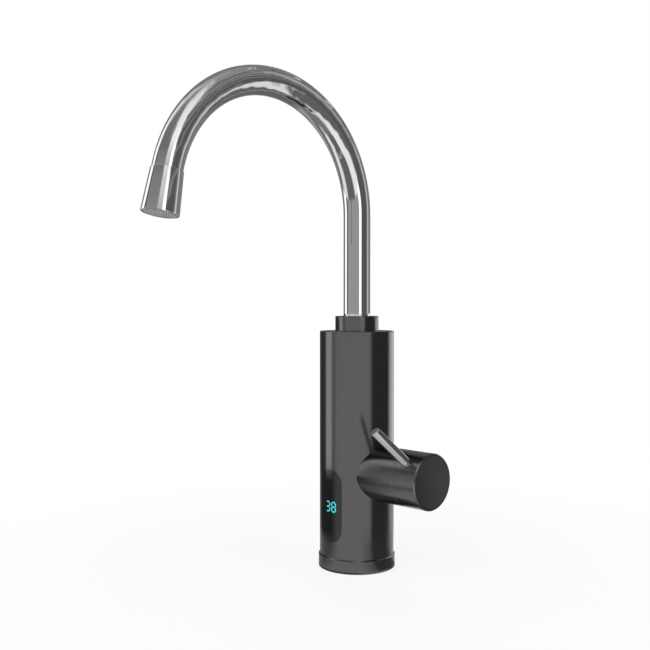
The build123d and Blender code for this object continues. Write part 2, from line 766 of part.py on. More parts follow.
# Stem: driving flange, round shaft with a ring groove, square end for the handle
stem_ring_x = (stem_shoulder_x + valve_end_x) / 2
with BuildPart() as cartridge_stem:
    with BuildSketch(valve_section):
        with BuildLine():
            Polyline(
                (stem_flange_x, 0),
                (stem_flange_x, disc_r),
                (stem_flange_x + stem_flange_t, disc_r),
                (stem_flange_x + stem_flange_t, stem_d / 2),
                (stem_ring_x - ring_section / 2, stem_d / 2),
                (stem_ring_x - ring_section / 2, stem_d / 2 - ring_depth),
                (stem_ring_x + ring_section / 2, stem_d / 2 - ring_depth),
                (stem_ring_x + ring_section / 2, stem_d / 2),
                (stem_round_end_x, stem_d / 2),
                (stem_round_end_x, 0),
                close=True,
            )
        make_face()
    revolve(axis=valve_axis)
    with BuildSketch(side_plane(stem_round_end_x)):
        Rectangle(stem_square, stem_square)
    extrude(amount=stem_end_x - stem_round_end_x)
    chamfer(cartridge_stem.faces().sort_by(Axis.X)[-1].edges(), small_bevel)
    with Locations(side_plane(stem_end_x)):
        Hole(handle_screw_d / 2 + run_fit, depth=handle_screw_len)
keep(cartridge_stem, "cartridge_stem")

with BuildPart() as stem_o_ring:
    with BuildSketch(valve_section):
        with Locations((stem_ring_x, stem_d / 2 - ring_depth / 2)):
            Circle(ring_cord_r)
    revolve(axis=valve_axis)
keep(stem_o_ring, "stem_o_ring")

# Cap nut that holds the cartridge in the valve body
with BuildPart() as cartridge_nut:
    with BuildSketch(side_plane(valve_shoulder_x + drop_fit)):
        Circle(nut_r)
    extrude(amount=valve_end_x + nut_wall - valve_shoulder_x - drop_fit)
    with BuildSketch(side_plane(valve_shoulder_x)):
        Circle(valve_thread_r + run_fit)
    extrude(amount=valve_end_x - valve_shoulder_x, mode=Mode.SUBTRACT)
    with BuildSketch(side_plane(valve_end_x)):
        Circle(nut_hole_d / 2)
        with PolarLocations(nut_r, nut_slots):
            Rectangle(nut_slot_w, nut_slot_w)
    extrude(amount=nut_wall, mode=Mode.SUBTRACT)
keep(cartridge_nut, "cartridge_nut")

# Mode sensor board round the stem, and the magnet ring on the stem that it reads
with BuildPart() as mode_sensor:
    with BuildSketch(side_plane(sensor_x)):
        Circle(branch_bore_r - air_gap)
        Circle(magnet_ring_d / 2 + air_gap, mode=Mode.SUBTRACT)
    extrude(amount=sensor_t)
    with BuildSketch(side_plane(sensor_x + sensor_t)):
        with Locations((0, magnet_ring_d / 2 + sensor_chip)):
            Rectangle(sensor_chip, sensor_chip)
    extrude(amount=board_t)
keep(mode_sensor, "mode_sensor")

with BuildPart() as magnet_ring:
    with BuildSketch(side_plane(magnet_ring_x)):
        Circle(magnet_ring_d / 2)
        Circle(stem_d / 2 + run_fit, mode=Mode.SUBTRACT)
    extrude(amount=magnet_ring_t)
keep(magnet_ring, "magnet_ring")

# Bearing in the mouth of the branch: skirt against the sensor board, journal for the handle
bearing_r = branch_bore_r - drop_fit
with BuildPart() as handle_bearing:
    with BuildSketch(valve_section):
        with BuildLine():
            Polyline(
                (sensor_x + sensor_t, bearing_r - bearing_skirt_wall),
                (sensor_x + sensor_t, bearing_r),
                (seam_x, bearing_r),
                (seam_x, journal_r),
                (journal_end_x, journal_r),
                (journal_end_x, handle_hub_d / 2 + air_gap),
                (bearing_x0, handle_hub_d / 2 + air_gap),
                (bearing_x0, bearing_r - bearing_skirt_wall),
                close=True,
            )
        make_face()
    revolve(axis=valve_axis)
keep(handle_bearing, "handle_bearing")

# Lever frame: the rod's seat on the sleeve and its direction, tipped forward and inward
lever_dir = Vector(
    -sin(radians(lever_inward)),
    -cos(radians(lever_inward)) * sin(lever_turn),
    cos(radians(lever_inward)) * cos(lever_turn),
)
lever_base = Vector(lever_x, -branch_r * sin(lever_turn), valve_z + branch_r * cos(lever_turn))
lever_seat_plane = Plane(origin=lever_base - lever_dir * lever_seat, z_dir=lever_dir)

# Handle sleeve: bore on the journal, web with the square hub, pocket for the cap
cap_x0 = handle_end_x - cap_t - run_fit
with BuildPart() as handle_sleeve:
    with BuildSketch(valve_section):
        with BuildLine():
            Polyline(
                (seam_x + seam_gap, journal_r + run_fit),
                (seam_x + seam_gap, branch_r),
                (handle_end_x - handle_bevel, branch_r),
                (handle_end_x, branch_r - handle_bevel),
                (handle_end_x, cap_r + drop_fit),
                (cap_x0, cap_r + drop_fit),
                (cap_x0, cap_skirt_r + drop_fit),
                (handle_web_x1, cap_skirt_r + drop_fit),
                (handle_web_x1, 0),
                (handle_hub_x0, 0),
                (handle_hub_x0, handle_hub_d / 2),
                (handle_web_x0, handle_hub_d / 2),
                (handle_web_x0, journal_r + run_fit),
                close=True,
            )
        make_face()
    revolve(axis=valve_axis)
    with BuildSketch(side_plane(handle_hub_x0)):
        Rectangle(stem_square + 2 * run_fit, stem_square + 2 * run_fit)
    extrude(amount=stem_end_x - handle_hub_x0 + drop_fit, mode=Mode.SUBTRACT)
    with BuildSketch(side_plane(stem_end_x)):
        Circle(handle_screw_d / 2 + drop_fit)
    extrude(amount=handle_web_x1 - stem_end_x, mode=Mode.SUBTRACT)
    with BuildSketch(lever_seat_plane):
        Circle(lever_d / 2 + run_fit)
    extrude(amount=2 * lever_d, mode=Mode.SUBTRACT)
    with BuildSketch(lever_seat_plane):
        Circle(lever_spigot_d / 2 + run_fit)
    extrude(amount=-lever_spigot_len - drop_fit, mode=Mode.SUBTRACT)
keep(handle_sleeve, "handle_sleeve")

# Cap screw that holds the sleeve on the stem
with BuildPart() as handle_screw:
    with BuildSketch(side_plane(handle_web_x1)):
        Circle(handle_screw_head_d / 2)
        RegularPolygon(handle_screw_key / 2, 6, major_radius=False, mode=Mode.SUBTRACT)
    extrude(amount=handle_screw_head_t)
    with BuildSketch(side_plane(handle_web_x1)):
        Circle(handle_screw_d / 2)
    extrude(amount=-handle_screw_len)
    with BuildSketch(side_plane(handle_web_x1)):
        Circle(handle_screw_head_d / 2)
    extrude(amount=handle_screw_head_t / 3)
keep(handle_screw, "handle_screw")

# End cap: flush disc with a snap skirt
with BuildPart() as handle_cap:
    with BuildSketch(side_plane(cap_x0)):
        Circle(cap_r)
    extrude(amount=cap_t)
    chamfer(handle_cap.edges().group_by(Axis.X)[-1], small_bevel)
    with BuildSketch(side_plane(cap_x0 - cap_skirt_len)):
        Circle(cap_skirt_r)
        Circle(cap_skirt_r - cap_skirt_wall, mode=Mode.SUBTRACT)
    extrude(amount=cap_skirt_len)
keep(handle_cap, "handle_cap")

# Lever: a straight rod with a spigot screwed into the sleeve
with BuildPart() as lever:
    with BuildSketch(lever_seat_plane):
        Circle(lever_d / 2)
    extrude(amount=lever_seat + lever_len)
    tip_edge = lever.faces().sort_by(Axis((0, 0, 0), lever_dir))[-1].edges()
    chamfer(tip_edge, small_bevel)
    with BuildSketch(lever_seat_plane):
        Circle(lever_spigot_d / 2)
    extrude(amount=-lever_spigot_len)
keep(lever, "lever")

# Heater plate: registers in the chamber, carries the element and takes the valve's spigot
seal_r = chamber_r - chamber_wall / 2 + chamber_seal_w / 4
with BuildPart() as heater_plate:
    with BuildSketch(Plane.XY.offset(heater_z)):
        Circle(heater_plate_r)
    extrude(amount=heater_plate_t)
    with BuildSketch(Plane.XY.offset(chamber_z)):
        Circle(chamber_bore_r - drop_fit)
    extrude(amount=heater_register_h)
    with BuildSketch(Plane.XY.offset(chamber_z)):
        Circle(seal_r + chamber_seal_w / 2)
        Circle(seal_r - chamber_seal_w / 2, mode=Mode.SUBTRACT)
    extrude(amount=-chamber_seal_t, mode=Mode.SUBTRACT)
    with BuildSketch(Plane.XY.offset(heater_z)):
        with PolarLocations(rod_ring_r, rod_count, start_angle=rod_angle):
            Circle(rod_d / 2 + drop_fit)
        with Locations((inlet_x, inlet_y)):
            Circle(valve_spigot_d / 2 + run_fit)
        with Locations(*end_points):
            Circle(element_d / 2 + run_fit)
    extrude(amount=heater_plate_t + heater_register_h, mode=Mode.SUBTRACT)
keep(heater_plate, "heater_plate")

with BuildPart() as chamber_seal:
    with BuildSketch(Plane.XY.offset(chamber_z - chamber_seal_t)):
        Circle(seal_r + chamber_seal_w / 2 - run_fit)
        Circle(seal_r - chamber_seal_w / 2 + run_fit, mode=Mode.SUBTRACT)
    extrude(amount=chamber_seal_t)
keep(chamber_seal, "chamber_seal")

# Chamber: drawn cup, open below, with a flange at its foot and a boss on its crown
boss_seat_z = socket_z - socket_spigot_len - drop_fit
probe_at = (probe_ring_r * cos(radians(probe_angle)), probe_ring_r * sin(radians(probe_angle)))
with BuildPart() as heater_chamber:
    with BuildSketch(Plane.XZ):
        with BuildLine():
            Polyline(
                (chamber_bore_r, chamber_z),
                (heater_plate_r, chamber_z),
                (heater_plate_r, chamber_z + chamber_flange_t),
                (chamber_r, chamber_z + chamber_flange_t),
                (chamber_r, chamber_top_z),
                (chamber_boss_r, chamber_top_z),
                (chamber_boss_r, socket_z),
                (socket_spigot_d / 2 + run_fit, socket_z),
                (socket_spigot_d / 2 + run_fit, boss_seat_z),
                (waterway_d / 2, boss_seat_z),
                (waterway_d / 2, chamber_top_z - chamber_wall),
                (chamber_bore_r, chamber_top_z - chamber_wall),
                close=True,
            )
        make_face()
    revolve(axis=Axis.Z)
    crown_edges = heater_chamber.edges().filter_by_position(Axis.Z, chamber_top_z, chamber_top_z)
    fillet(crown_edges.sort_by(SortBy.RADIUS)[-1], chamber_wall)
    with BuildSketch(Plane.XY.offset(chamber_z)):
        with PolarLocations(rod_ring_r, rod_count, start_angle=rod_angle):
            Circle(rod_d / 2 + drop_fit)
    extrude(amount=chamber_flange_t, mode=Mode.SUBTRACT)
    with Locations((*probe_at, chamber_top_z)):
        Hole(probe_d / 2 + run_fit, depth=chamber_wall)
keep(heater_chamber, "heater_chamber")

# Heating element: one tube, up and down in six legs joined by half-round bends
low_z = chamber_z + element_lift + element_ring_r / 2
high_z = low_z + element_leg_h
pin_z = heater_z - element_pin_z
with BuildPart() as heating_element:
    with BuildLine() as element_path:
        order = [0] + list(range(element_legs - 1, 0, -1))
        start = element_points[order[0]]
        Line((*start, heater_z - ferrule_t), (*start, high_z))
        for i in range(element_legs - 1):
            here = Vector(*element_points[order[i]], 0)
            there = Vector(*element_points[order[i + 1]], 0)
            upper = i % 2 == 0
            level = high_z if upper else low_z
            middle = (here + there) / 2
            swing = (here - there).length / 2 * (1 if upper else -1)
            ThreePointArc(here + Vector(0, 0, level), middle + Vector(0, 0, level + swing),
                          there + Vector(0, 0, level))
            last = i == element_legs - 2
            other = low_z if upper else high_z
            other = heater_z - ferrule_t if last else other
            Line(there + Vector(0, 0, level), there + Vector(0, 0, other))
    with BuildSketch(Plane(origin=(*start, heater_z - ferrule_t), z_dir=(0, 0, 1))):
        Circle(element_d / 2)
    sweep()
    with BuildSketch(Plane.XY.offset(heater_z - ferrule_t)):
        with Locations(*end_points):
            Circle(element_pin_d / 2)
    extrude(amount=-(element_pin_z - ferrule_t))
keep(heating_element, "heating_element")

# Hexagon ferrules that seal and hold the element's ends
with BuildPart() as element_ferrules:
    with BuildSketch(Plane.XY.offset(heater_z)):
        with Locations(*end_points):
            RegularPolygon(ferrule_af / 2, 6, major_radius=False)
            Circle(element_d / 2 + run_fit, mode=Mode.SUBTRACT)
    extrude(amount=-ferrule_t + drop_fit)
keep(element_ferrules, "element_ferrules")

# Two leads from the element's pins, over the chassis wall, down into the terminals
lead_end_y = chassis_rear_y + board_t + terminal_t / 2
with BuildPart() as heater_leads:
    for x, y in end_points:
        with BuildLine() as lead_path:
            FilletPolyline((x, y, pin_z), (x, y, lead_z), (x, lead_end_y, lead_z),
                           (x, lead_end_y, control_board_z1), radius=lead_bend)
        with BuildSketch(Plane(origin=(x, y, pin_z), z_dir=(0, 0, -1))):
            Circle(lead_d / 2)
        sweep(path=lead_path.wire())
keep(heater_leads, "heater_leads")

# Thermal cut-out against the chamber, held by a band round both
cutout_x = -(chamber_r + run_fit + cutout_t / 2)
with BuildPart() as thermal_cutout:
    with Locations((cutout_x, 0, cutout_z)):
        Box(cutout_t, cutout_w, cutout_h)
    chamfer(thermal_cutout.faces().sort_by(Axis.X)[0].edges(), small_bevel)
keep(thermal_cutout, "thermal_cutout")

with BuildPart() as cutout_strap:
    with BuildSketch(Plane.XY.offset(cutout_z - strap_h / 2)):
        with BuildSketch(mode=Mode.PRIVATE) as strap_inside:
            Circle(chamber_r + run_fit)
            with Locations((cutout_x, 0)):
                Rectangle(cutout_t + 2 * run_fit, cutout_w)
            make_hull()
        add(offset(strap_inside.sketch, strap_t, mode=Mode.PRIVATE))
        add(strap_inside.sketch, mode=Mode.SUBTRACT)
    extrude(amount=strap_h)
keep(cutout_strap, "cutout_strap")

# Temperature probe through the chamber's crown
with BuildPart() as temperature_probe:
    with BuildSketch(Plane.XY.offset(chamber_top_z)):
        with Locations(probe_at):
            RegularPolygon(probe_head_af / 2, 6, major_radius=False)
    extrude(amount=probe_head_t)
    with BuildSketch(Plane.XY.offset(chamber_top_z)):
        with Locations(probe_at):
            Circle(probe_d / 2)
    extrude(amount=-probe_len)
    tip_edges = temperature_probe.edges().filter_by(GeomType.CIRCLE).group_by(Axis.Z)[0]
    fillet(tip_edges, probe_d / 2 - small_bevel)
keep(temperature_probe, "temperature_probe")

# Spout socket: flange under the shell's top, neck through it, ring groove on its spigot
socket_ring_z = socket_z - socket_spigot_len / 2
socket_floor_z = nipple_flange_z - nipple_depth - drop_fit
with BuildPart() as spout_socket:
    with BuildSketch(Plane.XZ):
        with BuildLine():
            Polyline(
                (waterway_d / 2, socket_z - socket_spigot_len),
                (socket_spigot_d / 2, socket_z - socket_spigot_len),
                (socket_spigot_d / 2, socket_ring_z - ring_section / 2),
                (socket_spigot_d / 2 - ring_depth, socket_ring_z - ring_section / 2),
                (socket_spigot_d / 2 - ring_depth, socket_ring_z + ring_section / 2),
                (socket_spigot_d / 2, socket_ring_z + ring_section / 2),
                (socket_spigot_d / 2, socket_z),
                (socket_flange_r, socket_z),
                (socket_flange_r, under_top_z),
                (socket_neck_r, under_top_z),
                (socket_neck_r, socket_top_z),
                (socket_bore_d / 2, socket_top_z),
                (socket_bore_d / 2, socket_floor_z),
                (waterway_d / 2, socket_floor_z),
                close=True,
            )
        make_face()
    revolve(axis=Axis.Z)
keep(spout_socket, "spout_socket")

with BuildPart() as socket_o_ring:
    with BuildSketch(Plane.XZ):
        with Locations((socket_spigot_d / 2 - ring_depth / 2, socket_ring_z)):
            Circle(ring_cord_r)
    revolve(axis=Axis.Z)
keep(socket_o_ring, "socket_o_ring")

# Collar: union nut on the socket's neck, its lip over the spout's flange
with BuildPart() as collar:
    with BuildSketch(Plane.XY.offset(body_top_z)):
        Circle(collar_r)
    extrude(amount=collar_h)
    chamfer(collar.edges().group_by(Axis.Z)[-1], small_bevel)
    with BuildSketch(Plane.XY.offset(body_top_z)):
        Circle(socket_neck_r + run_fit)
    extrude(amount=collar_h - collar_lip, mode=Mode.SUBTRACT)
    with BuildSketch(Plane.XY.offset(body_top_z)):
        Circle(tube_r + air_gap)
    extrude(amount=collar_h, mode=Mode.SUBTRACT)
keep(collar, "collar")

# Thrust washer that the spout's flange turns on
with BuildPart() as thrust_washer:
    with BuildSketch(Plane.XY.offset(socket_top_z)):
        Circle(socket_neck_r - drop_fit)
        Circle(socket_bore_d / 2 + drop_fit, mode=Mode.SUBTRACT)
    extrude(amount=thrust_t - face_gap)
keep(thrust_washer, "thrust_washer")

# Spout nipple: turns in the socket on two rings, brazed into the tube above its flange
nipple_bottom_z = nipple_flange_z - nipple_depth
ring_levels = [nipple_bottom_z + ring_pitch * (i + 1) - ring_section for i in range(ring_count)]
with BuildPart() as spout_nipple:
    with BuildSketch(Plane.XY.offset(nipple_bottom_z)):
        Circle(nipple_d / 2)
    extrude(amount=nipple_depth)
    with BuildSketch(Plane.XY.offset(nipple_flange_z)):
        Circle(nipple_flange_r)
    extrude(amount=nipple_flange_t)
    with BuildSketch(Plane.XY.offset(tube_z)):
        Circle(tube_r - tube_wall - run_fit)
    extrude(amount=nipple_top_len)
    for z in ring_levels:
        with BuildSketch(Plane.XY.offset(z - ring_section / 2)):
            Circle(nipple_d / 2 + drop_fit)
            Circle(nipple_d / 2 - ring_depth, mode=Mode.SUBTRACT)
        extrude(amount=ring_section, mode=Mode.SUBTRACT)
    with BuildSketch(Plane.XY.offset(nipple_bottom_z)):
        Circle(nipple_bore_d / 2)
    extrude(amount=nipple_depth + nipple_flange_t + nipple_top_len, mode=Mode.SUBTRACT)
keep(spout_nipple, "spout_nipple")

with BuildPart() as spout_o_rings:
    with BuildSketch(Plane.XZ):
        with Locations(*[(nipple_d / 2 - ring_depth / 2, z) for z in ring_levels]):
            Circle(ring_cord_r)
    revolve(axis=Axis.Z)
keep(spout_o_rings, "spout_o_rings")

# Spout tube: straight riser, one bend in the YZ plane, short straight tail in the sleeve
bend_turn = radians(bend_angle)
bend_centre = Vector(0, -bend_r, tube_straight_z)
bend_mid = bend_centre + Vector(0, cos(bend_turn / 2), sin(bend_turn / 2)) * bend_r
bend_end = bend_centre + Vector(0, cos(bend_turn), sin(bend_turn)) * bend_r
tail_dir = Vector(0, -sin(bend_turn), cos(bend_turn))
with BuildPart() as spout_tube:
    with BuildLine() as spout_path:
        Line((0, 0, tube_z), (0, 0, tube_straight_z))
        ThreePointArc((0, 0, tube_straight_z), bend_mid, bend_end)
        Line(bend_end, bend_end + tail_dir * tube_tail)
    with BuildSketch(Plane.XY.offset(tube_z)):
        Circle(tube_r)
        Circle(tube_r - tube_wall, mode=Mode.SUBTRACT)
    sweep()
keep(spout_tube, "spout_tube")

# Outlet sleeve: tapered chrome shell over the tube's tail, turned upright and then set on the outlet
sleeve_top = bend_end - tail_dir * sleeve_lap
outlet_point = sleeve_top + tail_dir * sleeve_len
tube_end_h = sleeve_len - sleeve_lap - tube_tail
with BuildPart() as outlet_sleeve:
    with BuildSketch(Plane.XZ):
        with BuildLine():
            Polyline(
                (tube_r + run_fit, sleeve_len),
                (sleeve_top_r - small_bevel / 2, sleeve_len),
                (sleeve_top_r, sleeve_len - small_bevel),
                (sleeve_end_r, 0),
                (aerator_r + run_fit, 0),
                (aerator_r + run_fit, tube_end_h - run_fit),
                (tube_r + run_fit, tube_end_h - run_fit),
                close=True,
            )
        make_face()
    revolve(axis=Axis.Z)
sleeve_plane = Plane(origin=outlet_point, x_dir=(1, 0, 0), z_dir=-tail_dir)
outlet_sleeve.part = outlet_sleeve.part.moved(Location(sleeve_plane))
keep(outlet_sleeve, "outlet_sleeve")

# Aerator: washer against the tube's end, body with an inner shelf, fine mesh screen under the shelf
outlet_plane = Plane(origin=outlet_point, x_dir=(1, 0, 0), z_dir=tail_dir)
body_back = aerator_inset + aerator_h
with BuildPart() as aerator_washer:
    with BuildSketch(outlet_plane.offset(-tube_end_h + run_fit)):
        Circle(aerator_r - drop_fit)
        Circle(tube_r - tube_wall, mode=Mode.SUBTRACT)
    extrude(amount=tube_end_h - body_back - 2 * run_fit)
keep(aerator_washer, "aerator_washer")

with BuildPart() as aerator_body:
    with BuildSketch(outlet_plane.offset(-body_back)):
        Circle(aerator_r)
        Circle(aerator_r - aerator_rim, mode=Mode.SUBTRACT)
    extrude(amount=aerator_h)
    with BuildSketch(outlet_plane.offset(-aerator_inset - screen_t - aerator_rim)):
        Circle(aerator_r)
        Circle(aerator_r - 2 * aerator_rim, mode=Mode.SUBTRACT)
    extrude(amount=aerator_rim)
keep(aerator_body, "aerator_body")

with BuildPart() as aerator_screen:
    with BuildSketch(outlet_plane.offset(-aerator_inset - screen_t)):
        Circle(aerator_r - aerator_rim - run_fit)
    extrude(amount=screen_t)
keep(aerator_screen, "aerator_screen")

print(f"{len(pieces)} pieces; the spout's outlet is at y {outlet_point.Y:.1f}, z {outlet_point.Z:.1f}")
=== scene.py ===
"""An electric instant water heater tap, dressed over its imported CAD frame, in metres.

The frame gives every piece its place. Each section takes one piece or group of like pieces, from
the deck upwards and then out along the spout, and the studio around the tap comes last.
"""
import bmesh
import bpy
import numpy as np
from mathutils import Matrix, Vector


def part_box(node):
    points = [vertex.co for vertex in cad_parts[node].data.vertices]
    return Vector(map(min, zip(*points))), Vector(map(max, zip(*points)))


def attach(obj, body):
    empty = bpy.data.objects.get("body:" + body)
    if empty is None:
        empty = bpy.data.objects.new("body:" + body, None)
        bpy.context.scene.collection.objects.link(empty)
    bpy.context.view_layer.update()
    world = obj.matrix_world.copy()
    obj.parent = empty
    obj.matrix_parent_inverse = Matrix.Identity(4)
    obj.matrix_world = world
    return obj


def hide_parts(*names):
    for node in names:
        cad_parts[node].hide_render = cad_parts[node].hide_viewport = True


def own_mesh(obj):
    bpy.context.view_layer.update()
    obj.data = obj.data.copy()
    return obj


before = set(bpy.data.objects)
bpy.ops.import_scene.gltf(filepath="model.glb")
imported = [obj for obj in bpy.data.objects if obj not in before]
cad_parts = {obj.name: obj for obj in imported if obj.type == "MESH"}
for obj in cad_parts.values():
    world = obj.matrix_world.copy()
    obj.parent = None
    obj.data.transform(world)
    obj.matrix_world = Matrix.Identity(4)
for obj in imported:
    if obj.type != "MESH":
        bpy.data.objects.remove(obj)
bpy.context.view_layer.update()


# Base ring.
# The turned ring that the body stands in, covering the cut edge of the hole in the deck. It is
# machined from aluminium and finished in a fine metallic gunmetal lacquer, as the body is.

def add(tree, kind, inputs=(), **settings):
    """Adds a shader node. An input is set to a number or colour, or joined to another node's output."""
    made = tree.nodes.new("ShaderNode" + kind)
    for name, value in settings.items():
        setattr(made, name, value)
    for name, value in dict(inputs).items():
        if isinstance(value, bpy.types.NodeSocket):
            tree.links.new(value, made.inputs[name])
        else:
            made.inputs[name].default_value = value
    return made


def finish(name, colour, metallic, roughness, grain, depth, shade=0.06, spread=0.05, stretch=(1, 1, 1), **sockets):
    """A surface with one grain: noise of that grain size, in metres along each axis over stretch,
    multiplies the colour by one plus or minus shade, moves the roughness by plus or minus spread, and
    lifts the surface by depth. A second noise twelve times as coarse adds slow unevenness."""
    material = bpy.data.materials.new(name)
    material.use_nodes = True
    tree = material.node_tree
    shader = tree.nodes["Principled BSDF"]
    place = add(tree, "Mapping", {"Vector": add(tree, "TexCoord").outputs["Object"], "Scale": stretch})
    fine = add(tree, "TexNoise", {"Vector": place.outputs[0], "Scale": 1 / grain, "Detail": 4, "Roughness": 0.6})
    slow = add(tree, "TexNoise", {"Vector": place.outputs[0], "Scale": 1 / (12 * grain), "Detail": 2})
    both = add(tree, "Math", {0: fine.outputs[0], 1: slow.outputs[0]}, operation="ADD")
    value = add(tree, "MapRange", {"Value": both.outputs[0], "From Min": 0.6, "From Max": 1.4,
                                   "To Min": 1 - shade, "To Max": 1 + shade})
    tint = add(tree, "HueSaturation", {"Value": value.outputs[0], "Color": (*colour, 1)})
    rough = add(tree, "MapRange", {"Value": both.outputs[0], "From Min": 0.6, "From Max": 1.4,
                                   "To Min": max(roughness - spread, 0.02), "To Max": roughness + spread})
    bump = add(tree, "Bump", {"Height": fine.outputs[0], "Distance": depth})
    tree.links.new(tint.outputs[0], shader.inputs["Base Color"])
    tree.links.new(rough.outputs[0], shader.inputs["Roughness"])
    tree.links.new(bump.outputs[0], shader.inputs["Normal"])
    shader.inputs["Metallic"].default_value = metallic
    for socket, setting in sockets.items():
        shader.inputs[socket.replace("_", " ")].default_value = setting
    return material


def dress(material, *names):
    """Puts a material on every material slot of these CAD nodes."""
    for name in names:
        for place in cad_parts[name].material_slots:
            place.material = material


gunmetal = finish("gunmetal_lacquer", (0.105, 0.105, 0.108), 1.0, 0.19, grain=0.0003, depth=0.0000006,
                  shade=0.03, spread=0.02)
dress(gunmetal, "base_ring")


# Deck gasket, screws and bottom plate.
# A soft rubber ring seals the base ring to the deck. Three countersunk steel screws hold the
# ring to a machined brass plate with the inlet socket, its washer and the rubber cable gland.

rubber = finish("black_rubber", (0.022, 0.022, 0.024), 0.0, 0.62, grain=0.0006, depth=0.00002,
                shade=0.25, spread=0.12)
steel = finish("turned_steel", (0.56, 0.55, 0.53), 1.0, 0.27, grain=0.0012, depth=0.000008,
               shade=0.08, spread=0.09, stretch=(1, 1, 6))
brass = finish("machined_brass", (0.64, 0.43, 0.19), 1.0, 0.24, grain=0.0012, depth=0.00001,
               shade=0.1, spread=0.08, stretch=(1, 1, 5))
dress(rubber, "base_gasket", "inlet_washer", "cable_gland")
dress(steel, "base_screws")
dress(brass, "bottom_plate")


def surface(name, points, faces, material):
    """One smooth closed piece from its points and faces, with the points that meet at a pole joined
    into one and every face turned outwards."""
    mesh = bpy.data.meshes.new(name)
    mesh.from_pydata(points, [], faces.tolist())
    shaping = bmesh.new()
    shaping.from_mesh(mesh)
    bmesh.ops.remove_doubles(shaping, verts=shaping.verts, dist=1e-8)
    bmesh.ops.recalc_face_normals(shaping, faces=shaping.faces)
    shaping.to_mesh(mesh)
    shaping.free()
    mesh.shade_smooth()
    mesh.materials.append(material)
    piece = bpy.data.objects.new(name, mesh)
    bpy.context.collection.objects.link(piece)
    return piece


def turned(name, centre, radius, axis, body, material, replaced=(), hollow=True, sides=96, side=(1, 0, 0)):
    """A surface of rings, one for each point of a line: ring i is the circle of radius[i] about
    centre[i], square to axis[i], and the other parameter is the angle round it. On a hollow piece
    the rings run out along the outside and back along the bore, and the last ring joins the first.
    On a solid piece the first and last rings have no radius and become its two end points."""
    centre, radius, axis = np.broadcast_arrays(np.atleast_2d(centre), np.atleast_1d(radius)[:, None],
                                               np.atleast_2d(axis))
    side = np.cross(np.cross(axis, side), axis)
    side = side / np.linalg.norm(side, axis=1)[:, None]
    lift = np.cross(axis, side)
    angle = np.linspace(0, 2 * np.pi, sides + 1)[:-1]
    rings = (centre[:, None] + radius[:, None] * (np.cos(angle)[:, None] * side[:, None]
                                                  + np.sin(angle)[:, None] * lift[:, None]))
    index = np.arange(rings.shape[0] * sides).reshape(-1, sides)
    after = np.roll(index, -1, axis=0) if hollow else index[1:]
    before = index if hollow else index[:-1]
    quads = np.stack([before, np.roll(before, -1, axis=1), np.roll(after, -1, axis=1), after], -1).reshape(-1, 4)
    piece = surface(name, rings.reshape(-1, 3), quads, material)
    piece.data.set_sharp_from_angle(angle=0.5)
    if replaced:
        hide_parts(*replaced)
    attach(piece, body)
    return piece


def coil(centre, radius, low, high, turns, steps):
    """Points of a coil about the upright line through the centre, which climbs evenly from low to
    high in that many turns, and the coil's direction at each point."""
    turn = np.linspace(0, 2 * np.pi * turns, steps)
    points = np.stack([centre[0] + radius * np.cos(turn), centre[1] + radius * np.sin(turn),
                       np.linspace(low, high, steps)], -1)
    direction = np.gradient(points, axis=0)
    return points, direction / np.linalg.norm(direction, axis=1)[:, None]


socket_at = (-0.002, 0.0036)
socket_r = 0.0093
thread_pitch = 0.001814
thread_turns = 4.4
thread_low = 0.0013
ridge_r = 0.0006
ridge_sunk = 0.0001
ridge_steps = 330
fade_in = 1.2
thread, thread_axis = coil(socket_at, socket_r + ridge_sunk, thread_low, thread_low + thread_pitch * thread_turns,
                           thread_turns, ridge_steps)
run_in = np.linspace(0, 2 * np.pi * thread_turns, ridge_steps)
ridge = ridge_r * np.clip(np.minimum(run_in, run_in[::-1]) / fade_in, 0, 1)
turned("inlet_thread", thread, ridge, thread_axis, "body", brass, hollow=False, sides=6, side=(0, 0, 1))


# Chassis and tie rods.
# A moulded glass-filled nylon chassis stands on the plate and carries the boards. Four steel rods
# with nuts draw the plate and the heater plate together through the body.

nylon = finish("white_nylon", (0.72, 0.71, 0.68), 0.0, 0.5, grain=0.0009, depth=0.000025,
               shade=0.05, spread=0.1)
dress(nylon, "inner_chassis")
dress(steel, "tie_rods", "tie_rod_nuts")


# Body shell.
# A drawn aluminium housing with a welded side branch for the valve and a cut window for the
# display, dressed smooth and given the same gunmetal lacquer as the base ring.

dress(gunmetal, "body_shell")


# Display.
# A gloss black acrylic lens, curved as the body is, sits flush in the window on a rubber gasket.
# The digits are lit segments behind it, drawn as thin lit shapes on its face.

lens_black = finish("black_acrylic", (0.014, 0.014, 0.015), 0.0, 0.06, grain=0.004, depth=0.000001,
                    shade=0.1, spread=0.02, Specular_IOR_Level=0.4)
dress(lens_black, "display_lens")
dress(rubber, "lens_gasket")
board_green = finish("circuit_board", (0.02, 0.13, 0.06), 0.0, 0.35, grain=0.0012, depth=0.00002,
                     shade=0.35, spread=0.1)
moulded_black = finish("black_phenolic", (0.03, 0.03, 0.032), 0.0, 0.45, grain=0.0008, depth=0.00002,
                       shade=0.2, spread=0.1)
dress(board_green, "display_board")
dress(moulded_black, "digit_block")

face_r = 0.02739
digit_h = 0.0078
digit_w = 0.0044
digit_gap = 0.0012
digit_z = 0.0475
stroke = 0.0009
notch = 0.00028


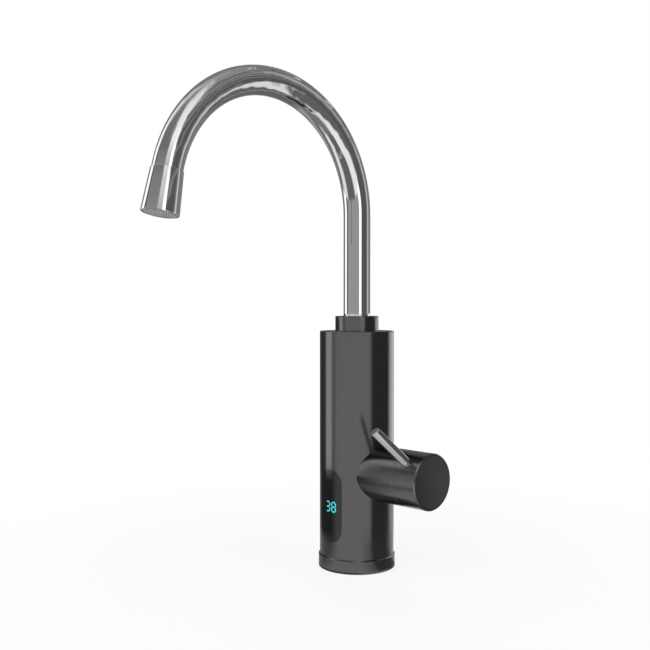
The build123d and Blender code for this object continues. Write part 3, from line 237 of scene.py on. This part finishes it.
def lit_bar(start, end):
    """One lit segment between two points of the digit plane, (s, z) with s round the lens and z up,
    as a flat bar with pointed ends. Across it, t runs from minus one to one, and the half width is
    stroke / 2 cut off at 45 degrees towards each end. The corners are carried onto the lens's
    cylinder: angle s / face_r, height z."""
    start, end = np.array(start, float), np.array(end, float)
    run = (end - start) / np.linalg.norm(end - start)
    side = np.array([-run[1], run[0]]) * stroke / 2
    start, end = start + run * notch, end - run * notch
    inset = run * stroke / 2
    return np.array([start, start + inset + side, end - inset + side, end, end - inset - side, start + inset - side])


def digit_bars(lit):
    """The bars of one digit as start and end points, in the order top, upper left, upper right,
    middle, lower left, lower right, bottom, for the ones that are lit."""
    w, h = (digit_w - stroke) / 2, (digit_h - stroke) / 2
    ends = [((-w, h), (w, h)), ((-w, 0), (-w, h)), ((w, 0), (w, h)), ((-w, 0), (w, 0)),
            ((-w, -h), (-w, 0)), ((w, -h), (w, 0)), ((-w, -h), (w, -h))]
    return [ends[i] for i in lit]


bars = []
for centre, lit in ((-(digit_w + digit_gap) / 2, (0, 2, 3, 5, 6)), ((digit_w + digit_gap) / 2, range(7))):
    bars += [lit_bar(*bar) + (centre, digit_z) for bar in digit_bars(lit)]
flat = np.array(bars)
layers = np.array([face_r - 0.00004, face_r + 0.00002])
angle = flat[..., 0] / face_r
corners = np.stack([np.stack([r * np.sin(angle), -r * np.cos(angle), flat[..., 1]], -1) for r in layers], 1)
ring = np.arange(6)
one = [list(ring[::-1]), list(ring + 6)] + [[i, (i + 1) % 6, (i + 1) % 6 + 6, i + 6] for i in range(6)]
faces = [[12 * k + v for v in face] for k in range(len(bars)) for face in one]
mesh = bpy.data.meshes.new("lit_digits")
mesh.from_pydata(corners.reshape(-1, 3), [], faces)
mesh.update()
digits = bpy.data.objects.new("lit_digits", mesh)
bpy.context.collection.objects.link(digits)
lit_cyan = finish("lit_cyan", (0.02, 0.3, 0.34), 0.0, 0.4, grain=0.001, depth=0.000002, shade=0.05)
lit_shader = lit_cyan.node_tree.nodes["Principled BSDF"]
lit_shader.inputs["Emission Color"].default_value = (0.02, 0.72, 0.8, 1)
lit_shader.inputs["Emission Strength"].default_value = 0.9
mesh.materials.append(lit_cyan)
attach(digits, "body")


# Control board, relay and terminals.
# The control board stands behind the display with its relay, and the heater leads end in a
# terminal block.

lead_red = finish("silicone_lead", (0.35, 0.03, 0.025), 0.0, 0.5, grain=0.0008, depth=0.00001, shade=0.12)
dress(board_green, "control_board")
dress(moulded_black, "power_relay", "heater_terminals")
dress(lead_red, "heater_leads")


# Flow switch.
# A moulded housing with a fluted float, whose magnet closes a glass reed switch as water lifts it
# against a light wound spring.

glass = finish("reed_glass", (0.55, 0.75, 0.6), 0.0, 0.08, grain=0.002, depth=0.000002, shade=0.05)
glass.node_tree.nodes["Principled BSDF"].inputs["Transmission Weight"].default_value = 0.7
ferrite = finish("ferrite", (0.07, 0.07, 0.075), 0.3, 0.5, grain=0.0006, depth=0.00002, shade=0.25)
dress(nylon, "flow_housing", "flow_float")
dress(ferrite, "float_magnet")
dress(glass, "reed_switch")

spring_low, spring_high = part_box("float_spring")[0].z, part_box("float_spring")[1].z
spring_turns = 5
spring_r = 0.00425
wire_r = 0.00035
wound, wound_axis = coil(socket_at, spring_r, spring_low + wire_r, spring_high - wire_r, spring_turns, 241)
flat_ends = np.r_[0, np.arange(len(wound)), len(wound) - 1]
spring = turned("float_spring_wound", wound[flat_ends], np.r_[0, np.full(len(wound), wire_r), 0],
                wound_axis[flat_ends], "body", steel, ["float_spring"], hollow=False, sides=12,
                side=(0, 0, 1))
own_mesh(spring)


# Valve.
# A forged brass valve body holds two lapped ceramic discs in a moulded cartridge, turned by a
# steel stem under a brass cap nut, with a ring magnet that the mode sensor board reads.

ceramic = finish("lapped_ceramic", (0.78, 0.77, 0.72), 0.0, 0.12, grain=0.0007, depth=0.000002, shade=0.04)
dress(brass, "valve_body", "cartridge_nut")
dress(rubber, "port_seal", "stem_o_ring")
dress(ceramic, "fixed_disc", "moving_disc")
dress(nylon, "cartridge_housing")
dress(moulded_black, "handle_bearing")
dress(steel, "cartridge_stem")
dress(board_green, "mode_sensor")
dress(ferrite, "magnet_ring")


# Handle.
# A turned sleeve on the side branch with a separate flat end cap over its hub screw, and a
# straight chromed rod as the lever, pressed into the sleeve and bevelled at its free end.

cap_satin = finish("satin_gunmetal", (0.046, 0.046, 0.048), 1.0, 0.34, grain=0.0005, depth=0.000006,
                   shade=0.06, spread=0.04)
chrome = finish("bright_chrome", (0.55, 0.556, 0.56), 1.0, 0.035, grain=0.009, depth=0.00004,
                shade=0.02, spread=0.01)
# The lever's chrome is the spout's bright chrome with its colour turned down: painted shade, so the rod renders
# darker than the spout.
rod_chrome_painted_shade = finish("rod_chrome_painted_shade", (0.4, 0.404, 0.407), 1.0, 0.05, grain=0.009, depth=0.00004,
                    shade=0.02, spread=0.01)
dress(gunmetal, "handle_sleeve")
dress(cap_satin, "handle_cap")
dress(steel, "handle_screw")


lever_at = np.array((0.0622, -0.014648, 0.085012))
lever_axis = np.array((-0.17365, -0.72141, 0.67037))
lever_line = np.array([(-0.008, 0.0), (-0.008, 0.0022), (-0.0078, 0.0024), (-0.0012, 0.0024), (-0.0012, 0.0034),
                       (0.0, 0.0034), (0.012, 0.0034), (0.024, 0.0034), (0.0356, 0.0034), (0.03573, 0.00338),
                       (0.03585, 0.0033), (0.03595, 0.00317), (0.036, 0.003), (0.036, 0.0)])
turned("lever_rod", lever_at + lever_line[:, :1] * lever_axis, lever_line[:, 1], lever_axis, "handle",
       rod_chrome_painted_shade, ["lever"], hollow=False)


# Heater.
# A steel chamber on a thick plate, with a bent tubular element brazed through brass ferrules, a
# thermal cut-out strapped to its side and a temperature probe.

heat_steel = finish("drawn_steel", (0.5, 0.49, 0.47), 1.0, 0.33, grain=0.0014, depth=0.00001,
                    shade=0.1, spread=0.1, stretch=(1, 1, 0.3))
probe_steel = finish("probe_steel", (0.6, 0.59, 0.57), 1.0, 0.2, grain=0.0008, depth=0.000004, shade=0.06)
dress(heat_steel, "heater_plate", "heater_chamber", "heating_element", "cutout_strap")
dress(rubber, "chamber_seal")
dress(brass, "element_ferrules")
dress(moulded_black, "thermal_cutout")
dress(probe_steel, "temperature_probe")


# Swivel joint.
# A brass socket in the body's top takes the spout's nipple on two rings, under a turned collar in
# the body's finish and a slippery thrust washer.

dress(gunmetal, "collar")
dress(brass, "spout_socket", "spout_nipple")
dress(rubber, "socket_o_ring", "spout_o_rings")
dress(nylon, "thrust_washer")


# Spout.
# A brass tube bent to a high arch and chromed bright, with a flared chrome sleeve at its mouth
# that holds the aerator and its woven steel mesh. Bending leaves slow ripples in the arch.

grey_plastic = finish("grey_acetal", (0.3, 0.3, 0.3), 0.0, 0.45, grain=0.0006, depth=0.00002, shade=0.08)
dress(rubber, "aerator_washer")
dress(grey_plastic, "aerator_body", "aerator_screen")

tree = chrome.node_tree
place = add(tree, "TexCoord").outputs["Object"]
height = add(tree, "SeparateXYZ", {0: place}).outputs["Z"]
ripple_size, ripple_depth = 0.008, 0.0003
ripple_from, ripple_full = 0.27, 0.31
bent = add(tree, "MapRange", {"Value": height, "From Min": ripple_from, "From Max": ripple_full,
                              "To Min": 0, "To Max": ripple_depth})
wave = add(tree, "TexNoise", {"Vector": place, "Scale": 1 / ripple_size, "Detail": 0})
ripple = add(tree, "Bump", {"Height": wave.outputs[0], "Distance": bent.outputs[0],
                            "Normal": tree.nodes["Bump"].outputs[0]})
tree.links.new(ripple.outputs[0], tree.nodes["Principled BSDF"].inputs["Normal"])

tube_r = 0.00995
tube_wall = 0.001
bore_r = tube_r - tube_wall
bend_r = 0.0855
bend_z = 0.26
bend_turn = np.radians(168.7)
tail = 0.0155
tail_axis = np.array((0, -np.sin(bend_turn), np.cos(bend_turn)))
foot_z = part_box("spout_tube")[0].z
along = np.linspace(0, bend_turn, 200)
bend = np.stack([0 * along, bend_r * (np.cos(along) - 1), bend_z + bend_r * np.sin(along)], -1)
bend_axis = np.stack([0 * along, -np.sin(along), np.cos(along)], -1)
riser_z = np.linspace(foot_z, bend_z, 16)[:-1]
riser = np.stack([0 * riser_z, 0 * riser_z, riser_z], -1)
end = bend[-1] + tail_axis * np.array([[tail / 2], [tail]])
line = np.concatenate([riser, bend, end])
line_axis = np.concatenate([np.tile((0, 0, 1), (len(riser), 1)), bend_axis, np.tile(tail_axis, (2, 1))])
turned("spout_tube_chromed", np.concatenate([line, line[::-1]]),
       np.r_[np.full(len(line), tube_r), np.full(len(line), bore_r)],
       np.concatenate([line_axis, line_axis[::-1]]), "spout", chrome, ["spout_tube"], sides=88)

sleeve_len = 0.0279
sleeve_lap = 0.0012
outlet = bend[-1] + tail_axis * (sleeve_len - sleeve_lap)
sleeve_line = np.array([(0.01121, 0.0100), (0.0279, 0.0100), (0.0279, 0.0103), (0.02787, 0.0104), (0.02778, 0.01047),
                        (0.0276, 0.0105), (0.02, 0.01098), (0.01, 0.0116), (0.0004, 0.01221), (0.00018, 0.0122),
                        (0.00004, 0.01212), (0.0, 0.012), (0.0, 0.01135), (0.0001, 0.01125), (0.01121, 0.01125)])
turned("outlet_sleeve_chromed", outlet - sleeve_line[:, :1] * tail_axis, sleeve_line[:, 1], tail_axis,
       "spout", chrome, ["outlet_sleeve"], sides=128)


def woven_wires(reach, pitch, wire_r, lift, rise):
    """Round wires crossed over and under inside a circle of that reach, in a plane (x, y) with the
    height h out of it. Wire k lies at k times the pitch and runs along the other direction as
    h = rise + lift * (-1)^k * cos(pi * run / pitch), the crossing set with the opposite sign. The
    second parameter is the angle round the wire, and its radius shrinks to nothing at both ends."""
    points, faces, used = [], [], 0
    angle = np.linspace(0, 2 * np.pi, 7)[:-1]
    count = int(reach / pitch)
    for crossing in (0, 1):
        for k in range(-count, count + 1):
            half = np.sqrt(reach ** 2 - (k * pitch) ** 2)
            run = np.linspace(-half, half, max(int(2 * half / pitch * 7), 3))
            height = rise + lift * (-1) ** (k + crossing) * np.cos(np.pi * run / pitch)
            round_r = np.full(len(run), wire_r)
            round_r[[0, -1]] = 0
            beside = k * pitch + np.outer(round_r, np.cos(angle))
            above = height[:, None] + np.outer(round_r, np.sin(angle))
            forward = np.repeat(run[:, None], 6, axis=1)
            wire = [forward, beside, above] if crossing else [beside, forward, above]
            points.append(np.stack(wire, -1).reshape(-1, 3))
            index = used + np.arange(len(run) * 6).reshape(-1, 6)
            after = np.roll(index, -1, axis=1)
            faces.append(np.stack([index[:-1], after[:-1], after[1:], index[1:]], -1).reshape(-1, 4))
            used += index.size
    return np.concatenate(points), np.concatenate(faces)


screen_inset = 0.0004
wires, wire_faces = woven_wires(reach=0.0098, pitch=0.0011, wire_r=0.00014, lift=0.0001, rise=0.0002)
frame_of_outlet = np.stack([(1, 0, 0), np.cross(tail_axis, (1, 0, 0)), tail_axis])
woven = surface("aerator_mesh", outlet - tail_axis * screen_inset + wires @ frame_of_outlet, wire_faces, steel)
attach(woven, "spout")


# Studio.
# A pale floor that runs out into white, plain soft lamps, and curved cards round the tap that only
# its reflections see, as a photographer sets them round polished metal.

toward_camera = -44.2
paper_clears_over = 0.04
paper_clears_near_over = 0.006


def paper_ring(name, profile, stops, top_stops=None, clears=None):
    """A ring of graded paper round the tap, as a grid of two parameters: the angle in degrees to
    the right of the camera's side, and the distance along a profile of (radius, height) points.
    Its glow follows the stops, pairs of angle and level joined by straight lines, and fades from
    the stops to the top stops along the profile. Only reflections see it. The low papers are lit
    for the body alone: they turn clear for whatever reflects them from nearer than the first
    length of clears or from further than the second."""
    angle = np.linspace(stops[0][0], stops[-1][0], 2 * int(stops[-1][0] - stops[0][0]) + 1)
    radius, height = np.array(profile, float).T
    along = np.r_[0, np.cumsum(np.hypot(np.diff(radius), np.diff(height)))]
    fine = np.linspace(0, along[-1], 25)
    radius, height = np.interp(fine, along, radius), np.interp(fine, along, height)
    turn = np.radians(toward_camera + angle)
    grid = np.stack([np.outer(np.cos(turn), radius), np.outer(np.sin(turn), radius),
                     np.outer(np.ones_like(turn), height)], -1)
    foot, head = (np.interp(angle, *np.array(s, float).T) for s in (stops, top_stops or stops))
    level = foot[:, None] + (head - foot)[:, None] * (fine / fine[-1])
    index = np.arange(level.size).reshape(level.shape)
    quads = np.stack([index[:-1, :-1], index[1:, :-1], index[1:, 1:], index[:-1, 1:]], -1).reshape(-1, 4)
    mesh = bpy.data.meshes.new(name)
    mesh.from_pydata(grid.reshape(-1, 3), [], quads.tolist())
    mesh.attributes.new("level", "FLOAT", "POINT").data.foreach_set("value", level.ravel().astype(np.float32))
    paper = bpy.data.materials.new(name)
    paper.use_nodes = True
    tree = paper.node_tree
    tree.nodes.remove(tree.nodes["Principled BSDF"])
    glow = add(tree, "Emission", {"Color": (1, 1, 1, 1),
                                  "Strength": add(tree, "Attribute", attribute_name="level").outputs["Fac"]})
    if clears:
        way = add(tree, "LightPath").outputs["Ray Length"]
        far = add(tree, "MapRange", {"Value": way, "From Min": clears[1], "From Max": clears[1] + paper_clears_over})
        near = add(tree, "MapRange", {"Value": way, "From Min": clears[0],
                                      "From Max": clears[0] - paper_clears_near_over})
        gone = add(tree, "Math", {0: far.outputs[0], 1: near.outputs[0]}, operation="MAXIMUM")
        glow = add(tree, "MixShader", {0: gone.outputs[0], 1: glow.outputs[0],
                                       2: add(tree, "BsdfTransparent").outputs[0]})
    tree.links.new(glow.outputs[0], tree.nodes["Material Output"].inputs["Surface"])
    mesh.materials.append(paper)
    sheet = bpy.data.objects.new(name, mesh)
    bpy.context.collection.objects.link(sheet)
    for seen_by in ("camera", "diffuse", "transmission", "volume_scatter", "shadow"):
        setattr(sheet, "visible_" + seen_by, False)
    return sheet


def cards(plain, *laid):
    """Stops for a paper ring of one plain level with cards laid on it, the later over the earlier.
    A card goes from one angle to another at its own level, and fades out over its edge."""
    angle = np.arange(-180, 181)
    level = np.full(len(angle), plain)
    for start, end, edge, bright in laid:
        level += (bright - level) * np.interp(angle, [start - edge, start, end, end + edge], [0, 1, 1, 0])
    return list(zip(angle, level))


# The low papers for the lacquered body: a wide window in front, a strip on each side, black flags.
foot = cards(0.4, (-50, 10, 30, 1.0), (40, 90, 4, 0.2), (110, 140, 15, 0.8))
lens = cards(0.2, (-60, 35, 15, 1.0), (-130, -80, 4, 0.05), (40, 90, 4, 0.15), (110, 140, 8, 0.9))
body = cards(0.1, (-60, 35, 20, 1.0), (-100, -80, 6, 1.8), (40, 90, 4, 0.15), (110, 140, 8, 1.6))
paper_ring("near_table", [(0.03, 0.001), (0.105, 0.001)], foot, clears=(0.0, 0.135))
paper_ring("lens_table", [(0.105, 0.001), (0.13, 0.001)], foot, lens, clears=(0.0, 0.135))
paper_ring("lens_card", [(0.13, 0.001), (0.13, 0.0456)], lens, clears=(0.088, 0.135))
paper_ring("body_card_foot", [(0.13, 0.0456), (0.13, 0.0576)], lens, body, clears=(0.088, 0.135))
paper_ring("body_card", [(0.13, 0.0576), (0.13, 0.186)], body, clears=(0.088, 0.135))

# The far papers for the chrome: a key strip in front, a strip on each side, and black flags that
# give the tube its dark lines.
wall = cards(0.3, (-85, 15, 5, 0.5), (20, 35, 4, 2.2), (-120, -100, 4, 2.0), (-96, -86, 3, 0.1),
             (42, 85, 6, 0.15), (100, 110, 4, 0.9))
high = cards(0.25, (-5, 30, 8, 1.5), (-120, -100, 5, 1.6), (95, 105, 5, 0.6))
ceiling = cards(0.3, (-10, 35, 20, 1.3), (-120, -95, 15, 0.9))
table = cards(0.2, (-100, -80, 15, 1.3), (0, 35, 10, 1.4), (85, 100, 10, 1.2), (-150, -140, 15, 0.5))
middle = cards(0.3, (15, 45, 20, 1.0))
paper_ring("middle_table", [(0.0, 0.0005), (0.134, 0.0005)], middle)
paper_ring("inner_table", [(0.134, 0.0005), (0.2, 0.0005)], middle, table)
paper_ring("outer_table", [(0.2, 0.0005), (1.6, 0.001)], table)
paper_ring("table_edge", [(1.6, 0.001), (2.4, 0.001)], table, wall)
paper_ring("far_wall", [(2.4, 0.001), (2.5, 0.75)], wall)
paper_ring("high_wall", [(2.5, 0.75), (2.5, 2.2)], wall, high)
paper_ring("ceiling", [(2.5, 2.2), (1.6, 3.2)], high, ceiling)
paper_ring("zenith", [(1.6, 3.2), (0.0, 3.6)], ceiling, cards(0.6))
for count, (radius, height, width, level) in enumerate((
        (2.3, 0.95, 0.12, 0.35), (2.3, 1.3, 0.05, 0.12), (2.3, 1.62, 0.03, 1.1), (2.1, 2.2, 0.05, 0.9),
        (1.8, 2.6, 0.06, 0.1), (1.3, 2.9, 0.05, 1.0))):
    paper_ring(f"tube_lamp_{count}", [(radius, height), (radius - width / 2, height + width)],
               [(38, level), (190, level)])

floor_r = np.linspace(0.0, 12.0, 40)
turn = np.linspace(0, 2 * np.pi, 97)[:-1]
floor_grid = np.stack([np.outer(floor_r[1:], np.cos(turn)), np.outer(floor_r[1:], np.sin(turn)),
                       np.full((39, 96), -0.0001)], -1)
corner = np.arange(39 * 96).reshape(39, 96)
after = np.roll(corner, -1, axis=1)
floor_quads = np.stack([corner[:-1], corner[1:], after[1:], after[:-1]], -1).reshape(-1, 4).tolist()
floor_mesh = bpy.data.meshes.new("floor")
floor_mesh.from_pydata(floor_grid.reshape(-1, 3), [], floor_quads + [corner[0].tolist()])
floor = bpy.data.objects.new("floor", floor_mesh)
bpy.context.collection.objects.link(floor)
floor_paint = bpy.data.materials.new("pale_floor")
floor_paint.use_nodes = True
tree = floor_paint.node_tree
paint = tree.nodes["Principled BSDF"]
paint.inputs["Base Color"].default_value = (0.86, 0.86, 0.86, 1)
paint.inputs["Roughness"].default_value = 0.9
paint.inputs["Specular IOR Level"].default_value = 0.0
ray = add(tree, "LightPath")
seen = add(tree, "Math", {0: ray.outputs["Is Camera Ray"], 1: ray.outputs["Is Glossy Ray"]}, operation="MAXIMUM")
seen = add(tree, "Math", {0: seen.outputs[0], 1: ray.outputs["Is Transmission Ray"]}, operation="MAXIMUM")
white = add(tree, "Emission", {"Color": (1, 1, 1, 1), "Strength": 1.0})
away = add(tree, "VectorMath", {0: add(tree, "TexCoord").outputs["Object"]}, operation="LENGTH")
far = add(tree, "MapRange", {"Value": away.outputs["Value"], "From Min": 0.1, "From Max": 0.4,
                            "To Min": 0.86, "To Max": 1.0}, interpolation_type="SMOOTHSTEP")
share = add(tree, "Math", {0: far.outputs[0], 1: seen.outputs[0]}, operation="MULTIPLY")
blend = add(tree, "MixShader", {0: share.outputs[0], 1: paint.outputs[0], 2: white.outputs[0]})
tree.links.new(blend.outputs[0], tree.nodes["Material Output"].inputs["Surface"])
floor_mesh.materials.append(floor_paint)

world = bpy.data.worlds.new("studio")
bpy.context.scene.world = world
world.use_nodes = True
tree = world.node_tree
ray = add(tree, "LightPath")
seen = add(tree, "Math", {0: ray.outputs["Is Camera Ray"], 1: ray.outputs["Is Glossy Ray"]}, operation="MAXIMUM")
seen = add(tree, "Math", {0: seen.outputs[0], 1: ray.outputs["Is Transmission Ray"]}, operation="MAXIMUM")
fill = add(tree, "MapRange", {"Value": seen.outputs[0], "To Min": 0.45, "To Max": 1.0})
tree.links.new(fill.outputs[0], tree.nodes["Background"].inputs["Strength"])
tree.nodes["Background"].inputs["Color"].default_value = (1, 1, 1, 1)


def soft_lamp(name, at, aim, size, power):
    """A square area lamp of that size at a place, turned to its aim, that reflections don't see."""
    lamp = bpy.data.lights.new(name, "AREA")
    lamp.size, lamp.energy = size, power
    held = bpy.data.objects.new(name, lamp)
    held.location = at
    held.rotation_euler = (Vector(aim) - Vector(at)).to_track_quat("-Z", "Y").to_euler()
    held.visible_glossy = False
    bpy.context.collection.objects.link(held)


soft_lamp("key_lamp", (0.2, -1.1, 1.3), (0, 0, 0.12), 0.9, 9)
soft_lamp("fill_lamp", (1.2, 0.3, 0.9), (0, 0, 0.12), 0.9, 6)
soft_lamp("back_lamp", (-0.9, 0.9, 1.2), (0, 0, 0.12), 0.9, 6)


# Camera.
# At the height of the tap's middle, a little below the middle of its arch, looking almost level.

camera_data = bpy.data.cameras.new("camera")
camera_data.sensor_width = 36
camera_data.lens = 52.31
camera = bpy.data.objects.new("camera", camera_data)
camera.location = (0.48702, -0.50741, 0.19592)
camera.rotation_euler = Vector((-0.7162, 0.6975, -0.0237)).to_track_quat("-Z", "Y").to_euler()
bpy.context.collection.objects.link(camera)
bpy.context.scene.camera = camera
bpy.context.scene.view_settings.view_transform = "Standard"
